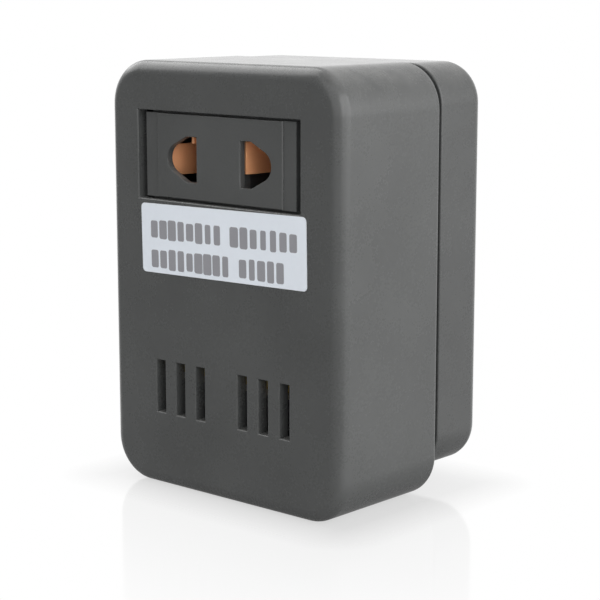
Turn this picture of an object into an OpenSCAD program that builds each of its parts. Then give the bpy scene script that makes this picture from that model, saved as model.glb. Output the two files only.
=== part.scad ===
// Travel voltage converter: a plug-in transformer box with a two-pole outlet on its front.
// Millimetres. X runs to the right, Y to the rear and Z up; the case stands on Z = 0.

/* [Case] */
// Width of the front shell
body_w = 54; // [51:0.5:64]
// Height of the front shell
body_h = 75.5; // [68:0.5:86]
// Depth of the front shell, front face to seam
front_depth = 26.4; // [25.5:0.1:32]
// Depth of the rear shell, seam to rear face
rear_depth = 12.8; // [12:0.1:18]
// Thickness of the case walls
wall = 2.2; // [1.6:0.1:2.6]
// Radius of the four long corners
corner_r = 7.8; // [6:0.1:9]
// Fillet round the front face
front_edge_r = 2.5; // [1:0.1:3]
// Fillet round the rear face
rear_edge_r = 2.8; // [1:0.1:3.4]
// Step in from the front shell to the rear shell at the sides
rear_inset = 0.7; // [0.2:0.1:1]
// Step down from the front shell to the rear shell at the top
rear_drop = 0.2; // [0:0.1:1]
// Height of the rear shell's underside above the base
rear_lift = 4.2; // [2.6:0.1:4.5]
// Shadow gap between the two shells
seam_gap = 0.6; // [0.3:0.1:1]
// Rounding of the front shell's rim at the seam
front_rim_r = 1.5; // [0.5:0.1:1.5]
// Rounding of the rear shell's rim at the seam
rear_rim_r = 0.3; // [0.1:0.1:0.6]

/* [Outlet] */
// Distance of the outlet's centre below the top
socket_drop = 16.6; // [14.5:0.1:17]
// Width of the window in the front shell
window_opening_w = 37.8; // [36:0.2:38]
// Height of the window in the front shell
window_opening_h = 15.4; // [14.8:0.2:15.8]
// Distance of the outlet and its window to the left of the middle
outlet_left = 0.7; // [0:0.1:0.8]
// Height of the window's centre above the outlet's centre
window_lift = 0.4; // [0:0.1:0.6]
// Gap between the window and the outlet plate at the sides
plate_side_gap = 1.4; // [0.4:0.1:1.5]
// Gap between the window and the outlet plate above and below
plate_edge_gap = 0.4; // [0.3:0.1:1]
// Distance of the outlet plate behind the front face
plate_setback = 0.5; // [0.2:0.1:1]
// Thickness of the outlet plate round its plug holes
plate_web_t = 1.2; // [1:0.1:1.6]
// Spacing of the flat blade slots
blade_spacing = 12.7; // [12.7:0.1:13]
// Width of a blade slot
blade_slot_w = 2.4; // [1.9:0.1:2.5]
// Height of a blade slot
blade_slot_h = 7.8; // [7:0.1:8.8]
// Spacing of the round pin holes
round_spacing = 19; // [18.6:0.1:19.2]
// Diameter of a round pin hole
round_hole_d = 5.2; // [5:0.1:5.6]

/* [Plug] */
// Diameter of a plug pin
pin_d = 4.8; // [4:0.1:5]
// Length of a plug pin outside the case
pin_length = 19; // [17:0.5:22]
// Spacing of the plug pins
pin_spacing = 19; // [17.5:0.1:20]
// Distance of the plug pins below the top
pin_drop = 17.5; // [15.5:0.1:18]

/* [Vents] */
// Width of a vent slot
vent_w = 2.1; // [1.2:0.1:2.6]
// Height of a vent slot
vent_h = 9.4; // [6:0.2:14]
// Height of the vents' centre above the base
vent_z = 18.3; // [16:0.1:24]
// Distance of the innermost vent slot from the middle
vent_inner_x = 5; // [3:0.1:5.5]
// Spacing of the vent slots
vent_pitch = 4.85; // [3.5:0.05:5]
// Vent slots in each of the two groups
vents_per_group = 3; // [1:1:3]

/* [Label] */
// Width of the label
label_w = 38.6; // [30:0.2:40]
// Height of the label
label_h = 12.2; // [8:0.2:12.4]
// Distance of the label's centre below the outlet's centre
label_drop = 13.9; // [13.9:0.1:18]
// Distance of the label's centre from the middle
label_x = 0.5; // [-2:0.1:2]
// Thickness of the label
label_t = 0.12; // [0.08:0.01:0.2]
// Turn of the label, as it was stuck on
label_turn = 1; // [0:0.1:1.2]

/* [Transformer] */
// Width of the core's middle limb
limb_w = 13; // [12:0.2:13.4]
// Width of a core window
core_window_w = 7.5; // [6.5:0.1:7.8]
// Thickness of the core clip
clip_t = 0.6; // [0.4:0.1:0.8]
// Wall of the bobbin
bobbin_t = 1; // [0.7:0.1:1.3]
// Thickness of the inner winding
inner_build = 2.3; // [1.6:0.1:2.5]
// Thickness of the outer winding
outer_build = 2.7; // [1.6:0.1:2.8]
// Thickness of a layer of tape
tape_t = 0.25; // [0.1:0.05:0.3]
// Diameter of the thermal fuse
fuse_d = 3.6; // [3:0.1:3.8]
// Length of the thermal fuse
fuse_length = 11; // [9:0.2:12]
// Diameter of a lead over its insulation
lead_d = 1.6; // [1.2:0.1:1.8]

/* [Fasteners] */
// Thread diameter of a case screw
case_screw_d = 2.6; // [2.2:0.1:3]
// Length of a case screw under its head
case_screw_length = 16; // [14:0.5:20]
// Thread diameter of a carrier or retainer screw
small_screw_d = 2.2; // [1.8:0.1:2.4]

/* [Hidden] */
$fn = 64;

// Clearances
fit = 0.1;
slip = 0.15;
over = 1;

// Planes from front to rear, with the whole part centred on Y = 0
front_y = -(front_depth + rear_depth + pin_length - label_t) / 2;
seam_y = front_y + front_depth;
rear_y = seam_y + rear_depth;
front_inner_y = front_y + wall;
rear_inner_y = rear_y - wall;

// Heights that hang from the top of the case
socket_z = body_h - socket_drop;
pin_z = body_h - pin_drop;
label_z = socket_z - label_drop;

// Outlines of the two shells in X and Z
front_half_w = body_w / 2;
cavity_half_w = front_half_w - wall;
cavity_r = corner_r - wall;
rear_half_w = front_half_w - rear_inset;
rear_top = body_h - rear_drop;
rear_corner_r = corner_r - rear_inset;
rear_rim_y = seam_y + seam_gap;

// Locating tongue of the rear shell, inside the front shell
tongue_depth = 2;
tongue_t = 1.4;
tongue_half_w = cavity_half_w - slip;
tongue_low = wall + slip;
tongue_top = body_h - wall - slip;
tongue_r = cavity_r - slip;
tongue_y = seam_y - tongue_depth;

// Case screws: a boss on the front shell meets a post on the rear shell
boss_r = 2.5;
post_wall = 1.2;
head_r = 2.3;
head_t = 1.6;
head_room = 0.25;
counterbore_r = head_r + head_room;
counterbore_depth = 6.7;
screw_from_side = 6.4;
screw_from_low = 5.2;
screw_from_top = 6.1;
boss_setback = 0.3;
case_screw_x = front_half_w - screw_from_side;
case_screw_low = rear_lift + screw_from_low;
case_screw_top = body_h - screw_from_top;
boss_end_y = tongue_y - boss_setback;
head_seat_y = rear_y - counterbore_depth;
thread_bite = 0.2;
screw_tip_room = 0.8;
recess_w = 0.5;
case_pilot_y = head_seat_y - case_screw_length - screw_tip_room;

// Label
label_corner_r = 0.8;

// Plug pins in the rear shell, held down by the retainer
pin_r = pin_d / 2;
pin_tip_r = 1.6;
collar_step = 0.5;
flange_step = 1.6;
collar_r = pin_r + collar_step;
flange_r = pin_r + flange_step;
flange_t = 3;
pin_tail_r = 1.5;
pin_tail_length = 5.4;
pin_x = pin_spacing / 2;
pad_y = rear_inner_y - flange_t;
retainer_t = 2.4;
retainer_y = pad_y - retainer_t;
retainer_screw_gap = 1.8;
retainer_screw_margin = 2.4;
retainer_rim = 1;
retainer_screw_bite = 3.4;
retainer_screw_x = pin_x + flange_r + retainer_screw_gap;
retainer_half_w = retainer_screw_x + retainer_screw_margin;
retainer_half_h = flange_r + retainer_rim;
pin_tail_y = pad_y - pin_tail_length;
retainer_screw_length = retainer_t + retainer_screw_bite;

// Outlet plate and the carrier behind it
plate_face_y = front_y + plate_setback;
plate_half_w = window_opening_w / 2 - plate_side_gap;
plate_half_h = window_opening_h / 2 - plate_edge_gap;
plate_flange_t = 1.8;
plate_wing = 0.6;
plate_strip_w = 2.8;
plate_strip_step = 0.3;
plate_lip = 1.2;
plate_wing_drop = 2;
plate_lip_inset = 1.7;
plate_back_y = front_inner_y + plate_flange_t;
web_y = plate_face_y + plate_web_t;
window_z = socket_z + window_lift;
terminal_t = 0.6;
carrier_back_t = 1.4;
tail_reach = 3;
lead_room = 3.5;
tail_end_y = pin_tail_y - lead_room;
carrier_back_y = tail_end_y - tail_reach;
terminal_y = carrier_back_y - carrier_back_t - terminal_t;
blade_x = blade_spacing / 2;
round_x = round_spacing / 2;

// Contacts, as distances from the outlet's centre
blade_gap = 1.6;
blade_inner_x = blade_x - blade_gap / 2;
blade_outer_x = blade_x + blade_gap / 2;
blade_flare = 0.4;
blade_lead_in = 2;
finger_setback = 0.8;
terminal_gap = 0.4;
wall_low = -1.8;
pocket_half_h = 5;
pocket_room = 0.7;
pocket_inner_x = blade_inner_x - terminal_t - pocket_room;
leaf_t = 0.5;
leaf_grip = 1.95;
leaf_lean = 1;
leaf_lead_in = 3.2;
leaf_setback = 0.4;
leaf_gap = 0.3;
leaf_waist_x = round_x + leaf_grip;
leaf_flare = 1.1;
leaf_low = -3.1;
leaf_top = 2.3;
leaf_open_deg = 4;
root_r = 0.8;
root_gap = 0.5;
root_x = leaf_waist_x + leaf_lean;
root_y = terminal_y - root_r - root_gap;
leaf_mouth_y = web_y + leaf_setback;
leaf_waist_y = leaf_mouth_y + leaf_lead_in;
leaf_swing = (root_y - leaf_mouth_y) * sin(leaf_open_deg);
pocket_outer_x = leaf_waist_x + leaf_flare + leaf_t + leaf_swing + root_gap;
carrier_wall = 1.8;
carrier_roof = 2.2;
carrier_half_w = outlet_left + pocket_outer_x + carrier_wall;
carrier_half_h = pocket_half_h + carrier_roof;
pivot_depth = 0.9;
tail_w = 2;
tail_z = 1.4;

// Carrier ears and their screws
ear_t = 2;
ear_boss_r = 2.2;
ear_x = cavity_half_w - ear_boss_r + fit;
ear_setback = 8;
ear_y = plate_back_y + ear_setback;
ear_half_h = 3;
small_head_r = 1.9;
small_head_t = 1.3;
carrier_screw_length = 8;
ear_pilot_y = ear_y + ear_t - carrier_screw_length - screw_tip_room;

// Transformer: the core fills the room between the low bosses, the outlet and the two shells
core_lift = 0.3;
fuse_room = 0.6;
bobbin_room = 1.2;
bobbin_slip = 0.2;
bobbin_edge = 0.3;
clip_margin = 2;
clip_tab_gap = 1;
bobbin_flange_out = core_window_w - bobbin_edge;
side_limb_w = limb_w / 2;
core_w = 2 * limb_w + 2 * core_window_w;
stack_t = rear_inner_y - front_inner_y - 2 * (bobbin_flange_out + bobbin_room);
core_y = (front_y + rear_y) / 2;
core_front_y = core_y - stack_t / 2;
core_rear_y = core_y + stack_t / 2;
core_z = case_screw_low + boss_r + clip_t + core_lift;
core_top = socket_z - carrier_half_h - fuse_room - fuse_d - fit - clip_t;
core_window_z = core_z + side_limb_w;
yoke_z = core_top - side_limb_w;
core_window_h = yoke_z - core_window_z;
clip_w = stack_t - 2 * clip_margin;
clip_tab = side_limb_w - clip_tab_gap;
bobbin_z = core_window_z + bobbin_slip;
bobbin_top = yoke_z - bobbin_slip;
winding_z = bobbin_z + bobbin_t;
winding_top = bobbin_top - bobbin_t;

// Half thickness of each layer outside the middle limb
tube_in = bobbin_slip;
tube_out = tube_in + bobbin_t;
inner_out = tube_out + inner_build;
layer_out = inner_out + tape_t;
outer_out = layer_out + outer_build;
tape_out = outer_out + tape_t;

// Solder pins on the bobbin's upper flange
solder_pin_r = 0.5;
solder_pin_length = 4.2;
solder_pin_pitch = 6;
solder_pin_y = core_rear_y + bobbin_flange_out / 2;
solder_pin_top = bobbin_top + solder_pin_length;

// Thermal fuse, lying on the core clip
fuse_z = core_top + clip_t + fit + fuse_d / 2;
fuse_wire_r = 0.45;
fuse_wire_length = 9;
fuse_reach = fuse_length / 2 + fuse_wire_length;

// Ribs that hold the core
rib_t = 2;
core_rib_x = core_w / 2 - side_limb_w / 2;
floor_rib_x = 8;

// Points of the five leads, from one end to the other
lead_r = lead_d / 2;
lead_sides = 8;
lead_steps = 3;
lead_bite = 0.4;
bend = 1.5;
pin_lead_setback = 1.4;
pin_under = pin_z - pin_tail_r + lead_bite;
pin_lead_y = pin_tail_y + pin_lead_setback;
tail_lead_y = tail_end_y - lead_bite;
tail_lead_z = socket_z + tail_z;
tail_bend_y = tail_end_y + bend / 2;
left_tail_x = -outlet_left - round_x;
right_tail_x = -outlet_left + round_x;
solder_lead_z = solder_pin_top - lead_bite;
pin_to_fuse = [
    [pin_x, pin_lead_y, pin_under],
    [pin_x + bend, pin_lead_y - bend / 2, pin_under - 2 * bend],
    [fuse_reach + bend, core_y + 4 * bend, fuse_z + bend],
    [fuse_reach + bend, core_y + bend, fuse_z],
    [fuse_reach - lead_bite, core_y, fuse_z],
];
fuse_to_winding = [
    [-fuse_reach + lead_bite, core_y, fuse_z],
    [-fuse_reach - bend, core_y + bend, fuse_z],
    [-fuse_reach - bend, core_y + 5 * bend, fuse_z],
    [-1.5 * solder_pin_pitch - bend, solder_pin_y - bend, solder_pin_top + 2 * bend],
    [-1.5 * solder_pin_pitch, solder_pin_y, solder_lead_z],
];
pin_to_winding = [
    [-pin_x, pin_lead_y, pin_under],
    [-pin_x + bend / 3, pin_lead_y + bend / 3, pin_under - 2 * bend],
    [-solder_pin_pitch, solder_pin_y - bend / 2, solder_pin_top + 3 * bend],
    [-solder_pin_pitch / 2, solder_pin_y, solder_lead_z],
];
left_outlet = [
    [left_tail_x, tail_lead_y, tail_lead_z],
    [left_tail_x + bend / 2, tail_bend_y, tail_lead_z - 3 * bend],
    [-solder_pin_pitch / 2, tail_bend_y, fuse_z + 2 * bend],
    [(solder_pin_pitch - bend) / 2, solder_pin_y - bend, solder_pin_top + 2 * bend],
    [solder_pin_pitch / 2, solder_pin_y, solder_lead_z],
];
right_outlet = [
    [right_tail_x, tail_lead_y, tail_lead_z],
    [right_tail_x - bend / 2, tail_bend_y, tail_lead_z - 3 * bend],
    [right_tail_x - bend, tail_bend_y, fuse_z + 2 * bend],
    [1.5 * solder_pin_pitch - bend / 2, solder_pin_y - bend, solder_pin_top + 2 * bend],
    [1.5 * solder_pin_pitch, solder_pin_y, solder_lead_z],
];

// Outline in X and Z, carried back from y0 over a depth
module slab(y0, depth) {
    translate([0, y0 + depth, 0]) rotate([90, 0, 0]) linear_extrude(depth) children();
}

// Cylinder along Y from y0 to y1
module rod(r, y0, y1) {
    translate([0, y1, 0]) rotate([90, 0, 0]) cylinder(r = r, h = y1 - y0);
}

// Rectangle with round corners, from (x0, z0) to (x1, z1)
module round_rect(x0, z0, x1, z1, r) {
    translate([x0 + r, z0]) square([x1 - x0 - 2 * r, z1 - z0]);
    translate([x0, z0 + r]) square([x1 - x0, z1 - z0 - 2 * r]);
    for (x = [x0 + r, x1 - r], z = [z0 + r, z1 - r]) translate([x, z]) circle(r);
}

// Half section of a block whose outer upper edge is filleted, and its lower edge too if it has a foot radius
module edge_profile(reach, depth, fillet, foot = 0) {
    translate([0, foot]) square([reach, depth - fillet - foot]);
    square([reach - fillet, depth]);
    intersection() {
        translate([reach - fillet, depth - fillet]) circle(fillet);
        square([reach, depth]);
    }
    if (foot > 0) {
        square([reach - foot, depth - fillet]);
        intersection() {
            translate([reach - foot, foot]) circle(foot);
            square([reach, depth]);
        }
    }
}

module rim_profile(width, depth, fillet, foot) {
    for (side = [0, 1]) mirror([side, 0]) edge_profile(width / 2, depth, fillet, foot);
}

// Block with round corners, standing on z = 0, with its upper and lower edges rounded
module soft_block(w, h, depth, r, fillet, foot) {
    translate([r - w / 2, 0, 0]) rotate([90, 0, 90])
        linear_extrude(w - 2 * r) rim_profile(h, depth, fillet, foot);
    translate([0, h / 2 - r, 0]) rotate([90, 0, 0])
        linear_extrude(h - 2 * r) rim_profile(w, depth, fillet, foot);
    for (x = [r - w / 2, w / 2 - r], y = [r - h / 2, h / 2 - r])
        translate([x, y, 0]) rotate_extrude() edge_profile(r, depth, fillet, foot);
}

// Places a child at each case screw
module at_case_screws() {
    for (x = [-case_screw_x, case_screw_x], z = [case_screw_low, case_screw_top])
        translate([x, 0, z]) children();
}

// Places a child on both sides of the middle
module both_sides(x, z) {
    for (side = [-1, 1]) translate([side * x, 0, z]) children();
}

// Screw along Y with its head seated at seat_y; toward = -1 drives it to the front
module screw(thread_r, length, seat_y, toward, head_radius, head_height) {
    tip_y = seat_y + toward * length;
    top_y = seat_y - toward * head_height;
    rod(thread_r, min(seat_y, tip_y), max(seat_y, tip_y));
    difference() {
        rod(head_radius, min(seat_y, top_y), max(seat_y, top_y));
        for (turn = [0, 90]) translate([0, top_y, 0]) rotate([0, turn, 0])
            cube([head_radius * 1.2, head_height, recess_w], center = true);
    }
}

// Outline of one plug hole: a blade slot that tapers out to a round hole
module plug_hole() {
    slot_x0 = blade_x - blade_slot_w / 2;
    slot_x1 = blade_x + blade_slot_w / 2;
    half_h = blade_slot_h / 2;
    hole_r = round_hole_d / 2;
    dx = round_x - slot_x1;
    span = sqrt(dx * dx + half_h * half_h);
    turn = 180 - atan2(half_h, dx) - acos(hole_r / span);
    touch = [round_x + hole_r * cos(turn), hole_r * sin(turn)];
    polygon([
        [slot_x0, -half_h], [slot_x1, -half_h], [touch[0], -touch[1]],
        [touch[0], touch[1]], [slot_x1, half_h], [slot_x0, half_h],
    ]);
    translate([round_x, 0]) circle(hole_r);
}

// Rectangle about the origin, given by its half width and half height
module centred(half_w, half_h) {
    translate([-half_w, -half_h]) square([2 * half_w, 2 * half_h]);
}

// Places what is centred between the outlet's poles
module at_outlet() {
    translate([-outlet_left, 0, 0]) children();
}

// Places an outline on the window's centre
module at_window() {
    at_outlet() translate([0, window_z]) children();
}

// Outlines of the two pockets that hold the contacts
module contact_pockets() {
    at_outlet() for (side = [0, 1]) mirror([side, 0]) translate([pocket_inner_x, socket_z - pocket_half_h])
        square([pocket_outer_x - pocket_inner_x, 2 * pocket_half_h]);
}

module front_shell() color([0.30, 0.30, 0.31]) difference() {
    union() {
        difference() {
            translate([0, seam_y, body_h / 2]) rotate([90, 0, 0])
                soft_block(body_w, body_h, front_depth, corner_r, front_edge_r, front_rim_r);
            slab(front_inner_y, front_depth)
                round_rect(-cavity_half_w, wall, cavity_half_w, body_h - wall, cavity_r);
        }
        at_case_screws() rod(boss_r, front_inner_y, boss_end_y);
        both_sides(ear_x, socket_z) rod(ear_boss_r, front_inner_y, ear_y);
        slab(front_inner_y, core_front_y - front_inner_y) for (side = [0, 1]) mirror([side, 0])
            translate([core_rib_x - rib_t / 2, core_z]) square([rib_t, core_top - core_z]);
        slab(front_inner_y, boss_end_y - front_inner_y) for (side = [0, 1]) mirror([side, 0])
            translate([floor_rib_x - rib_t / 2, wall]) square([rib_t, core_z - wall]);
    }
    at_case_screws() rod(case_screw_d / 2 - thread_bite, case_pilot_y, boss_end_y + over);
    both_sides(ear_x, socket_z) rod(small_screw_d / 2 - thread_bite, ear_pilot_y, ear_y + over);
    slab(front_y - over, wall + over) {
        at_window() centred(window_opening_w / 2, window_opening_h / 2);
        for (side = [0, 1], i = [0 : vents_per_group - 1]) mirror([side, 0])
            translate([vent_inner_x + i * vent_pitch - vent_w / 2, vent_z - vent_h / 2])
                square([vent_w, vent_h]);
    }
}

module rear_shell() color([0.31, 0.31, 0.32]) difference() {
    union() {
        difference() {
            union() {
                translate([0, rear_rim_y, (rear_lift + rear_top) / 2]) mirror([0, 1, 0]) rotate([90, 0, 0])
                    soft_block(2 * rear_half_w, rear_top - rear_lift, rear_y - rear_rim_y, rear_corner_r,
                               rear_edge_r, rear_rim_r);
                slab(tongue_y, tongue_depth + seam_gap)
                    round_rect(-tongue_half_w, tongue_low, tongue_half_w, tongue_top, tongue_r);
            }
            slab(tongue_y - over, rear_inner_y - tongue_y + over) round_rect(
                tongue_t - tongue_half_w, rear_lift + wall, tongue_half_w - tongue_t, tongue_top - tongue_t,
                tongue_r - tongue_t);
        }
        at_case_screws() {
            rod(boss_r, boss_end_y, rear_inner_y);
            rod(counterbore_r + post_wall, head_seat_y - post_wall, rear_inner_y);
        }
        slab(pad_y, flange_t) translate([-retainer_half_w, pin_z - retainer_half_h])
            square([2 * retainer_half_w, 2 * retainer_half_h]);
        slab(core_rear_y, rear_inner_y - core_rear_y) for (side = [0, 1]) mirror([side, 0])
            translate([core_rib_x - rib_t / 2, core_z]) square([rib_t, core_top - core_z]);
    }
    at_case_screws() {
        rod(counterbore_r, head_seat_y, rear_y + over);
        rod(case_screw_d / 2 + slip, boss_end_y - over, head_seat_y + over);
    }
    both_sides(pin_x, pin_z) {
        rod(flange_r + fit, pad_y - over, rear_inner_y);
        rod(collar_r + fit / 2, pad_y, rear_y + over);
    }
    both_sides(retainer_screw_x, pin_z)
        rod(small_screw_d / 2 - thread_bite, pad_y - over, retainer_y + retainer_screw_length + fit);
}

module case_screws() color("silver") at_case_screws()
    screw(case_screw_d / 2, case_screw_length, head_seat_y, -1, head_r, head_t);

module rating_label() color("white") translate([label_x, 0, label_z]) slab(front_y - label_t, label_t)
    rotate(label_turn) round_rect(-label_w / 2, -label_h / 2, label_w / 2, label_h / 2, label_corner_r);

// Plate held by wings and lips behind the window, cored out round its plug holes
module outlet_plate() color([0.28, 0.28, 0.29]) difference() {
    union() {
        slab(plate_face_y, plate_back_y - plate_face_y)
            at_window() centred(plate_half_w - plate_strip_w, plate_half_h);
        slab(plate_face_y + plate_strip_step, plate_back_y - plate_face_y - plate_strip_step)
            at_window() centred(plate_half_w, plate_half_h);
        slab(front_inner_y, plate_flange_t) at_window() {
            centred(window_opening_w / 2 + plate_wing, window_opening_h / 2 - plate_wing_drop);
            centred(window_opening_w / 2 - plate_lip_inset, window_opening_h / 2 + plate_lip);
        }
    }
    slab(plate_face_y - over, plate_back_y - plate_face_y + 2 * over) at_outlet() translate([0, socket_z])
        for (side = [0, 1]) mirror([side, 0]) plug_hole();
    slab(web_y, plate_back_y - web_y + over) contact_pockets();
}

module contact_carrier() color([0.2, 0.2, 0.21]) difference() {
    union() {
        slab(plate_back_y, carrier_back_y - plate_back_y)
            translate([-carrier_half_w, socket_z - carrier_half_h])
                square([2 * carrier_half_w, 2 * carrier_half_h]);
        slab(ear_y, ear_t) translate([-ear_x - small_head_r, socket_z - ear_half_h])
            square([2 * (ear_x + small_head_r), 2 * ear_half_h]);
    }
    slab(plate_back_y - over, terminal_y + terminal_t - plate_back_y + over) contact_pockets();
    at_outlet() for (side = [0, 1]) mirror([side, 0, 0]) translate([0, 0, socket_z]) {
        translate([root_x, root_y, -pocket_half_h - pivot_depth - fit])
            cylinder(r = root_r + fit / 2, h = 2 * (pocket_half_h + pivot_depth + fit));
        translate([round_x - tail_w / 2 - fit, terminal_y, tail_z - terminal_t / 2 - fit])
            cube([tail_w + 2 * fit, tail_end_y - terminal_y, terminal_t + 2 * fit]);
    }
    both_sides(ear_x, socket_z) rod(small_screw_d / 2 + fit, ear_y - over, ear_y + ear_t + over);
}

module carrier_screws() color("silver") both_sides(ear_x, socket_z)
    screw(small_screw_d / 2, carrier_screw_length, ear_y + ear_t, -1, small_head_r, small_head_t);

// Terminal on the right: back plate, blade wall, blade finger and solder tail
module terminal() color([0.80, 0.45, 0.25]) translate([0, 0, socket_z]) {
    finger_low = leaf_top + leaf_gap;
    top = pocket_half_h - terminal_gap;
    mouth_y = web_y + terminal_gap;
    finger_y = web_y + finger_setback;
    plate_outer_x = root_x + root_r;
    translate([blade_inner_x - terminal_t, terminal_y, -top])
        cube([plate_outer_x - blade_inner_x + terminal_t, terminal_t, 2 * top]);
    translate([0, 0, wall_low]) linear_extrude(top - wall_low) polygon([
        [blade_inner_x - terminal_t, terminal_y], [blade_inner_x - terminal_t, mouth_y + blade_lead_in],
        [blade_inner_x - terminal_t - blade_flare, mouth_y], [blade_inner_x - blade_flare, mouth_y],
        [blade_inner_x, mouth_y + blade_lead_in], [blade_inner_x, terminal_y],
    ]);
    translate([0, 0, finger_low]) linear_extrude(top - finger_low) polygon([
        [blade_outer_x + terminal_t, terminal_y], [blade_outer_x + terminal_t, finger_y + blade_lead_in],
        [blade_outer_x + terminal_t + blade_flare, finger_y], [blade_outer_x + blade_flare, finger_y],
        [blade_outer_x, finger_y + blade_lead_in], [blade_outer_x, terminal_y],
    ]);
    translate([round_x - tail_w / 2, terminal_y, tail_z - terminal_t / 2])
        cube([tail_w, tail_end_y - terminal_y, terminal_t]);
}

module right_terminal() at_outlet() terminal();
module left_terminal() at_outlet() mirror([1, 0, 0]) terminal();

// Contact leaf on the right: a strip with a waist, a flared mouth and a rolled root
module contact_leaf() color([0.85, 0.50, 0.28]) translate([0, 0, socket_z]) {
    translate([0, 0, leaf_low]) linear_extrude(leaf_top - leaf_low) polygon([
        [root_x - leaf_t / 2, root_y], [leaf_waist_x, leaf_waist_y],
        [leaf_waist_x + leaf_flare, leaf_mouth_y], [leaf_waist_x + leaf_flare + leaf_t, leaf_mouth_y],
        [leaf_waist_x + leaf_t, leaf_waist_y], [root_x + leaf_t / 2, root_y],
    ]);
    translate([root_x, root_y, -pocket_half_h - pivot_depth])
        cylinder(r = root_r, h = 2 * (pocket_half_h + pivot_depth));
}

module right_contact_leaf() at_outlet() contact_leaf();
module left_contact_leaf() at_outlet() mirror([1, 0, 0]) contact_leaf();

// Plug pin about its own axis: tail, flange, collar in the wall and round-ended pin
module plug_pin() color([0.85, 0.84, 0.80]) {
    rod(pin_tail_r, pin_tail_y, pad_y + over);
    rod(flange_r, pad_y, rear_inner_y);
    rod(collar_r, rear_inner_y - over, rear_y);
    translate([0, rear_y - over, 0]) mirror([0, 1, 0]) rotate([90, 0, 0])
        rotate_extrude() edge_profile(pin_r, pin_length + over, pin_tip_r);
}

module left_plug_pin() translate([-pin_x, 0, pin_z]) plug_pin();
module right_plug_pin() translate([pin_x, 0, pin_z]) plug_pin();

module pin_retainer() color([0.85, 0.80, 0.65]) difference() {
    slab(retainer_y, retainer_t) translate([-retainer_half_w, pin_z - retainer_half_h])
        square([2 * retainer_half_w, 2 * retainer_half_h]);
    both_sides(pin_x, pin_z) rod(pin_tail_r + fit, retainer_y - over, pad_y + over);
    both_sides(retainer_screw_x, pin_z) rod(small_screw_d / 2 + fit, retainer_y - over, pad_y + over);
}

module retainer_screws() color("silver") both_sides(retainer_screw_x, pin_z)
    screw(small_screw_d / 2, retainer_screw_length, retainer_y, 1, small_head_r, small_head_t);

module e_laminations() color([0.45, 0.46, 0.48]) difference() {
    translate([-core_w / 2, core_front_y, core_z]) cube([core_w, stack_t, yoke_z - core_z]);
    for (side = [0, 1]) mirror([side, 0, 0])
        translate([limb_w / 2, core_front_y - over, core_window_z])
            cube([core_window_w, stack_t + 2 * over, core_window_h + over]);
}

module i_laminations() color([0.48, 0.49, 0.51])
    translate([-core_w / 2, core_front_y, yoke_z]) cube([core_w, stack_t, side_limb_w]);

module core_clip() color([0.70, 0.70, 0.66]) slab(core_y - clip_w / 2, clip_w) difference() {
    translate([-core_w / 2 - clip_t, core_z - clip_t])
        square([core_w + 2 * clip_t, core_top - core_z + 2 * clip_t]);
    translate([-core_w / 2, core_z]) square([core_w, core_top - core_z]);
    translate([clip_tab - core_w / 2, core_z - clip_t - over])
        square([core_w - 2 * clip_tab, clip_t + 2 * over]);
}

// Ring round the middle limb, between two distances from it and two heights
module limb_ring(inside, outside, z0, z1) {
    difference() {
        translate([-limb_w / 2 - outside, core_front_y - outside, z0])
            cube([limb_w + 2 * outside, stack_t + 2 * outside, z1 - z0]);
        translate([-limb_w / 2 - inside, core_front_y - inside, z0 - over])
            cube([limb_w + 2 * inside, stack_t + 2 * inside, z1 - z0 + 2 * over]);
    }
}

module bobbin() color([0.90, 0.88, 0.80]) {
    limb_ring(tube_in, tube_out, bobbin_z, bobbin_top);
    limb_ring(tube_in, bobbin_flange_out, bobbin_z, winding_z);
    limb_ring(tube_in, bobbin_flange_out, winding_top, bobbin_top);
}

module bobbin_terminals() color("silver") for (i = [-1.5 : 1 : 1.5])
    translate([i * solder_pin_pitch, solder_pin_y, bobbin_top])
        cylinder(r = solder_pin_r, h = solder_pin_length);

module inner_winding() color([0.75, 0.35, 0.15]) limb_ring(tube_out, inner_out, winding_z, winding_top);
module layer_tape() color([0.90, 0.80, 0.30]) limb_ring(inner_out, layer_out, winding_z, winding_top);
module outer_winding() color([0.70, 0.32, 0.14]) limb_ring(layer_out, outer_out, winding_z, winding_top);
module outer_tape() color([0.90, 0.80, 0.30]) limb_ring(outer_out, tape_out, winding_z, winding_top);

module thermal_fuse() color([0.75, 0.76, 0.78]) translate([0, core_y, fuse_z]) rotate([0, 90, 0]) {
    cylinder(r = fuse_d / 2, h = fuse_length, center = true);
    cylinder(r = fuse_wire_r, h = 2 * fuse_reach, center = true);
}

// Point at t, from 0 to 1, on the curve between points i and i + 1 of a route
function curve_point(p, i, t) =
    let (last = len(p) - 1, a = p[max(i - 1, 0)], b = p[i], c = p[i + 1], d = p[min(i + 2, last)])
    0.5 * (2 * b + (c - a) * t + (2 * a - 5 * b + 4 * c - d) * t * t + (3 * b - a - 3 * c + d) * t * t * t);

function curve_points(p) = concat(
    [for (i = [0 : len(p) - 2], k = [0 : lead_steps - 1]) curve_point(p, i, k / lead_steps)],
    [p[len(p) - 1]]);

// Corners of the ring round point i of a line, square to the line there
function ring(line, i) =
    let (along = line[min(i + 1, len(line) - 1)] - line[max(i - 1, 0)], t = along / norm(along),
         side = cross(t, [1, 0.3, 0]), u = side / norm(side), v = cross(t, u))
    [for (k = [0 : lead_sides - 1])
        line[i] + lead_r * (cos(360 * k / lead_sides) * u + sin(360 * k / lead_sides) * v)];

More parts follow.
